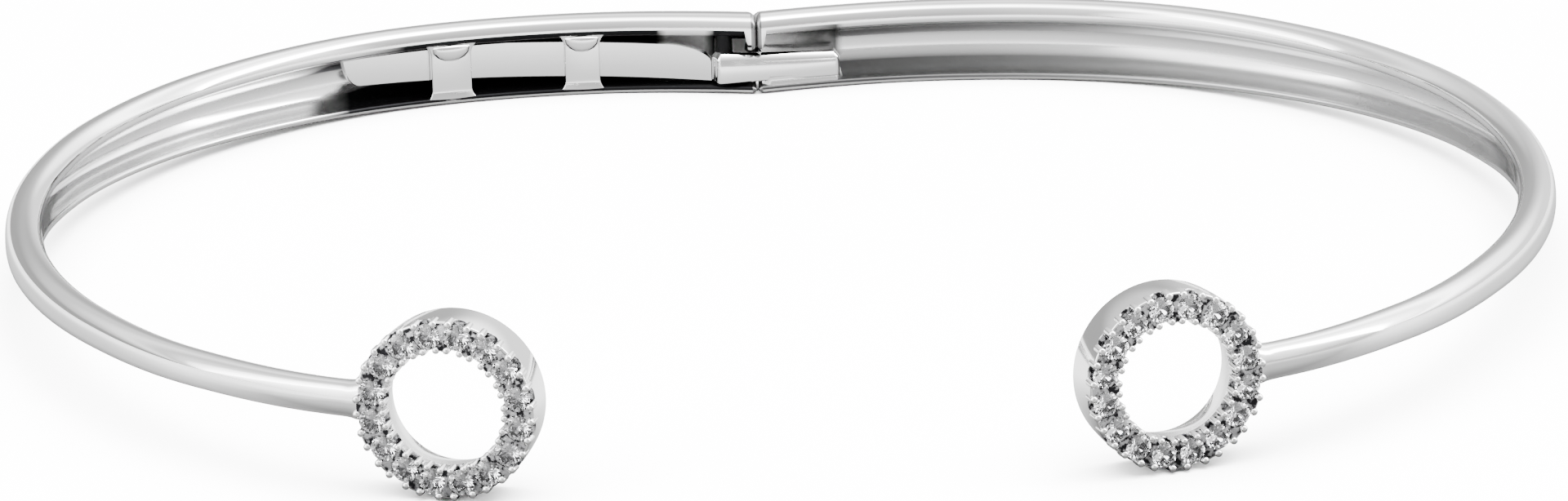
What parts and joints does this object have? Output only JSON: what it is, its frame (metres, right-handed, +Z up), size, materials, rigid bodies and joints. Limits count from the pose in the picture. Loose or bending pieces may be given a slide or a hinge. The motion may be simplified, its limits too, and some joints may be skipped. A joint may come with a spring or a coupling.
{
  "type": "hinged bangle",
  "caption": "Slim oval bangle in polished white metal, hinged at the back with a sprung channelled band, open at the front between two stone-set rings.",
  "frame": {"origin": "under the middle of the bangle's box, on the surface that it lies on", "axes": "+X to the side with the right arm, +Y towards the hinge at the back, +Z up; the bangle lies on its side, its two front rings and the lower edge of the hinge touching Z = 0"},
  "size_m": [0.0618, 0.0526, 0.0072],
  "materials": {
    "polished_metal": "mirror polish with a bright white plating",
    "pin_metal": "polished flush with the ears",
    "spring_metal": "polished strip, plated with the band",
    "clear_stone": "clear round brilliants, cut and polished"
  },
  "bodies": {
    "left_half": {"left_arm": "polished_metal", "hinge_pin": "pin_metal", "leaf_spring": "spring_metal", "left_stone_1": "clear_stone", "left_stone_2": "clear_stone", "left_stone_3": "clear_stone", "left_stone_4": "clear_stone", "left_stone_5": "clear_stone", "left_stone_6": "clear_stone", "left_stone_7": "clear_stone", "left_stone_8": "clear_stone", "left_stone_9": "clear_stone", "left_stone_10": "clear_stone", "left_stone_11": "clear_stone", "left_stone_12": "clear_stone", "left_stone_13": "clear_stone", "left_stone_14": "clear_stone", "left_stone_15": "clear_stone", "left_stone_16": "clear_stone"},
    "right_half": {"right_arm": "polished_metal", "right_stone_1": "clear_stone", "right_stone_2": "clear_stone", "right_stone_3": "clear_stone", "right_stone_4": "clear_stone", "right_stone_5": "clear_stone", "right_stone_6": "clear_stone", "right_stone_7": "clear_stone", "right_stone_8": "clear_stone", "right_stone_9": "clear_stone", "right_stone_10": "clear_stone", "right_stone_11": "clear_stone", "right_stone_12": "clear_stone", "right_stone_13": "clear_stone", "right_stone_14": "clear_stone", "right_stone_15": "clear_stone", "right_stone_16": "clear_stone"}
  },
  "joints": [
    {"name": "hinge", "type": "hinge", "parent": "left_half", "child": "right_half", "pos_m": [-0.0013, 0.02375, 0.00163], "axis": [0, 0.0398, 0.9992], "range_deg": [0, 32], "stiffness_Nm_per_rad": 0.02, "springref_deg": -20.05}
  ]
}
